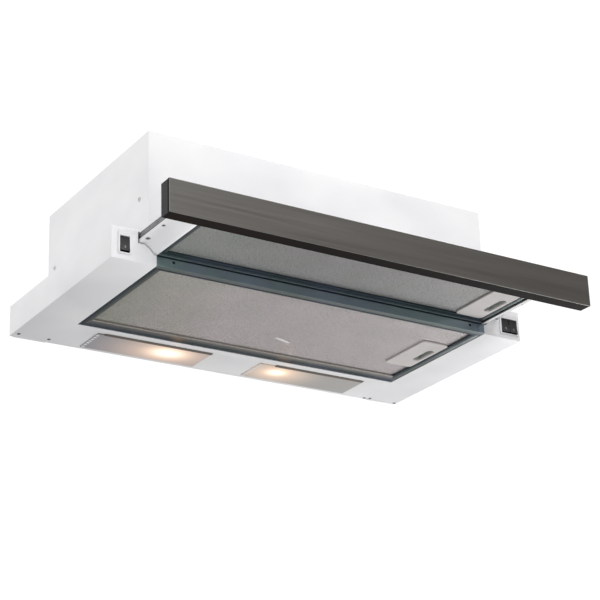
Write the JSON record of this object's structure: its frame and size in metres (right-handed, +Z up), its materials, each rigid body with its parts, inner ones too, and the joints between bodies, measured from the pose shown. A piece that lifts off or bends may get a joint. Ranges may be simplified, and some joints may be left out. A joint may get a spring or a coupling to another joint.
{
  "type": "telescopic under cabinet range hood",
  "caption": "Slim built-in cooker hood with a pull-out steam drawer, steel front, hinged grease filters, lamps, rocker switches and a top duct outlet.",
  "frame": {"origin": "rear centre of the plane in which the body's seat shoulders meet the underside of the cabinet", "axes": "+X across the hood to the user's right, +Y to the wall, +Z up through the duct outlet"},
  "size_m": [0.598, 0.428, 0.206],
  "materials": {
    "white_enamel": "satin white coil coat",
    "brushed_front": "long horizontal brushing",
    "zinc_blue": "blue passivated zinc",
    "runner_steel": "bare rolled steel",
    "motor_steel": "drawn steel can",
    "mesh_aluminium": "expanded mesh",
    "filter_frame": "dark rolled edge",
    "handle_grey": "fine grain",
    "latch_grey": "fine grain",
    "switch_black": "satin",
    "bezel_white": "satin",
    "panel_trim": "satin",
    "lamp_diffuser": "frosted",
    "lamp_glass": "frosted",
    "lamp_socket": "ceramic",
    "fan_plastic": "moulded",
    "duct_plastic": "moulded",
    "electrics": "moulded",
    "capacitor_can": "moulded"
  },
  "bodies": {
    "hood": {"canopy_pan": "white_enamel", "motor_housing": "white_enamel", "front_rail": "zinc_blue", "switch_bezel_left": "bezel_white", "switch_bezel_right": "bezel_white", "lamp_housing_left": "runner_steel", "lamp_housing_right": "runner_steel", "lamp_socket_left": "lamp_socket", "lamp_socket_right": "lamp_socket", "lamp_bulb_left": "lamp_glass", "lamp_bulb_right": "lamp_glass", "lamp_lens_left": "lamp_diffuser", "lamp_lens_right": "lamp_diffuser", "runner_channel_left": "runner_steel", "runner_channel_right": "runner_steel", "scroll_housing": "fan_plastic", "inlet_ring_left": "fan_plastic", "inlet_ring_right": "fan_plastic", "motor_bracket_left": "runner_steel", "motor_bracket_right": "runner_steel", "motor_left": "motor_steel", "motor_right": "motor_steel", "outlet_collar": "duct_plastic", "damper_bridge": "duct_plastic", "junction_box": "electrics", "junction_lid": "electrics", "capacitor": "capacitor_can", "capacitor_clip": "runner_steel", "cable_gland": "electrics"},
    "drawer": {"runner_slide_left": "runner_steel", "runner_slide_right": "runner_steel", "drawer_side_left": "white_enamel", "drawer_side_right": "white_enamel", "drawer_top_cover": "white_enamel", "drawer_crossbar": "runner_steel", "drawer_rear_rail": "zinc_blue", "front_panel": "brushed_front", "panel_carrier": "panel_trim", "panel_end_cap_left": "panel_trim", "panel_end_cap_right": "panel_trim"},
    "cage_left": {"runner_cage_left": "zinc_blue"},
    "cage_right": {"runner_cage_right": "zinc_blue"},
    "body_filter": {"body_filter_frame": "filter_frame", "body_filter_mesh": "mesh_aluminium", "body_filter_handle": "handle_grey"},
    "body_latch": {"body_filter_latch": "latch_grey"},
    "drawer_filter": {"drawer_filter_frame": "filter_frame", "drawer_filter_mesh": "mesh_aluminium", "drawer_filter_handle": "handle_grey"},
    "drawer_latch": {"drawer_filter_latch": "latch_grey"},
    "rocker_left": {"rocker_left": "switch_black"},
    "rocker_right_inner": {"rocker_right_inner": "switch_black"},
    "rocker_right_outer": {"rocker_right_outer": "switch_black"},
    "impeller_left": {"impeller_left": "fan_plastic"},
    "impeller_right": {"impeller_right": "fan_plastic"},
    "flap_rear": {"damper_flap_rear": "duct_plastic"},
    "flap_front": {"damper_flap_front": "duct_plastic"}
  },
  "joints": [
    {"name": "drawer_slide", "type": "slide", "parent": "hood", "child": "drawer", "axis": [0, -1, 0], "range_m": [-0.121, 0]},
    {"name": "cage_left_slide", "type": "slide", "parent": "hood", "child": "cage_left", "axis": [0, -1, 0], "range_m": [-0.0606, 0]},
    {"name": "cage_right_slide", "type": "slide", "parent": "hood", "child": "cage_right", "axis": [0, -1, 0], "range_m": [-0.0606, 0]},
    {"name": "body_filter_swing", "type": "hinge", "parent": "hood", "child": "body_filter", "pos_m": [-0.2385, -0.1776, -0.0397], "axis": [0, 1, 0], "range_deg": [0, 60]},
    {"name": "body_filter_latch_slide", "type": "slide", "parent": "body_filter", "child": "body_latch", "axis": [-1, 0, 0], "range_m": [0, 0.006], "stiffness_N_per_m": 400, "springref_m": -0.003},
    {"name": "drawer_filter_swing", "type": "hinge", "parent": "drawer", "child": "drawer_filter", "pos_m": [-0.2365, -0.3411, -0.0235], "axis": [0, 1, 0], "range_deg": [0, 60]},
    {"name": "drawer_filter_latch_slide", "type": "slide", "parent": "drawer_filter", "child": "drawer_latch", "axis": [-1, 0, 0], "range_m": [0, 0.006], "stiffness_N_per_m": 400, "springref_m": -0.003},
    {"name": "rocker_left_tilt", "type": "hinge", "parent": "hood", "child": "rocker_left", "pos_m": [-0.282, -0.2874, -0.0215], "axis": [1, 0, 0], "range_deg": [0, 16]},
    {"name": "rocker_right_inner_tilt", "type": "hinge", "parent": "hood", "child": "rocker_right_inner", "pos_m": [0.2751, -0.2874, -0.02275], "axis": [1, 0, 0], "range_deg": [0, 16]},
    {"name": "rocker_right_outer_tilt", "type": "hinge", "parent": "hood", "child": "rocker_right_outer", "pos_m": [0.2879, -0.2874, -0.02275], "axis": [1, 0, 0], "range_deg": [0, 16]},
    {"name": "impeller_left_spin", "type": "hinge", "parent": "hood", "child": "impeller_left", "pos_m": [-0.025, -0.1166, 0.0675], "axis": [1, 0, 0], "continuous": true},
    {"name": "impeller_right_spin", "type": "hinge", "parent": "hood", "child": "impeller_right", "pos_m": [0.025, -0.1166, 0.0675], "axis": [1, 0, 0], "continuous": true},
    {"name": "damper_rear_swing", "type": "hinge", "parent": "hood", "child": "flap_rear", "pos_m": [0, -0.1402, 0.1449], "axis": [1, 0, 0], "range_deg": [0, 80]},
    {"name": "damper_front_swing", "type": "hinge", "parent": "hood", "child": "flap_front", "pos_m": [0, -0.147, 0.1449], "axis": [-1, 0, 0], "range_deg": [0, 80]}
  ],
  "couplings": [
    {"joint": "cage_left_slide", "follows": "drawer_slide", "ratio": 0.5},
    {"joint": "cage_right_slide", "follows": "drawer_slide", "ratio": 0.5}
  ]
}
